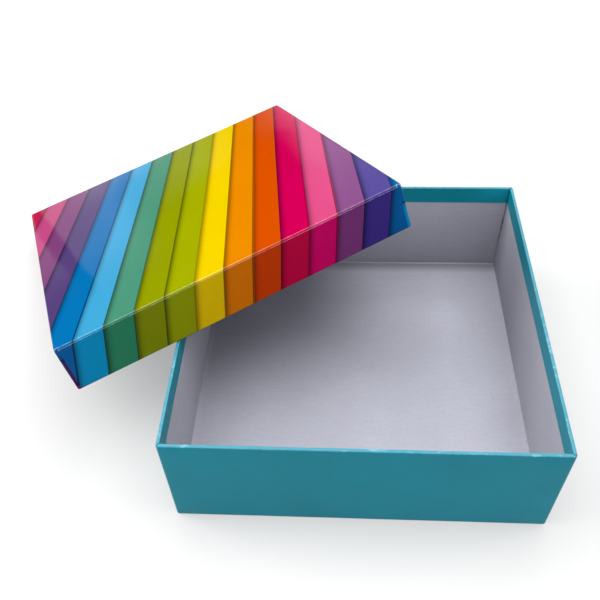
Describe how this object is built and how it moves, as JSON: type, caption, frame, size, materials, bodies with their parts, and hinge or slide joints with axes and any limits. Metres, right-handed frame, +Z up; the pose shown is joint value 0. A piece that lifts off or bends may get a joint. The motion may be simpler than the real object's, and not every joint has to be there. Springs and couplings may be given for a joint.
{
  "type": "rigid gift box",
  "caption": "Square rigid gift box: an open tray covered in turquoise paper, with its striped lift-off lid leaning over one corner.",
  "frame": {"origin": "centre of the tray's underside, where the tray stands on the table", "axes": "+Z up, +Y from the tray's front to its back, +X to the right; the lid lies over the back left corner"},
  "size_m": [0.3399, 0.3146, 0.1198],
  "materials": {
    "turquoise_paper": "satin laminate",
    "striped_paper": "gloss laminate with printed stripes",
    "greyboard": "matt, white-lined",
    "stay_tape": "matt"
  },
  "bodies": {
    "tray": {"base_board_floor": "greyboard", "base_board_front": "greyboard", "base_board_right": "greyboard", "base_board_back": "greyboard", "base_board_left": "greyboard", "base_wrap": "turquoise_paper", "base_corner_stay_front_left": "stay_tape", "base_corner_stay_front_right": "stay_tape", "base_corner_stay_back_right": "stay_tape", "base_corner_stay_back_left": "stay_tape"},
    "lid": {"lid_board_top": "greyboard", "lid_board_front": "greyboard", "lid_board_right": "greyboard", "lid_board_back": "greyboard", "lid_board_left": "greyboard", "lid_wrap": "striped_paper", "lid_corner_stay_front_left": "stay_tape", "lid_corner_stay_front_right": "stay_tape", "lid_corner_stay_back_right": "stay_tape", "lid_corner_stay_back_left": "stay_tape"}
  },
  "joints": [
    {"name": "lid_lift", "type": "slide", "parent": "tray", "child": "lid", "axis": [0, 0, 1], "range_m": [0, 0.1]}
  ]
}
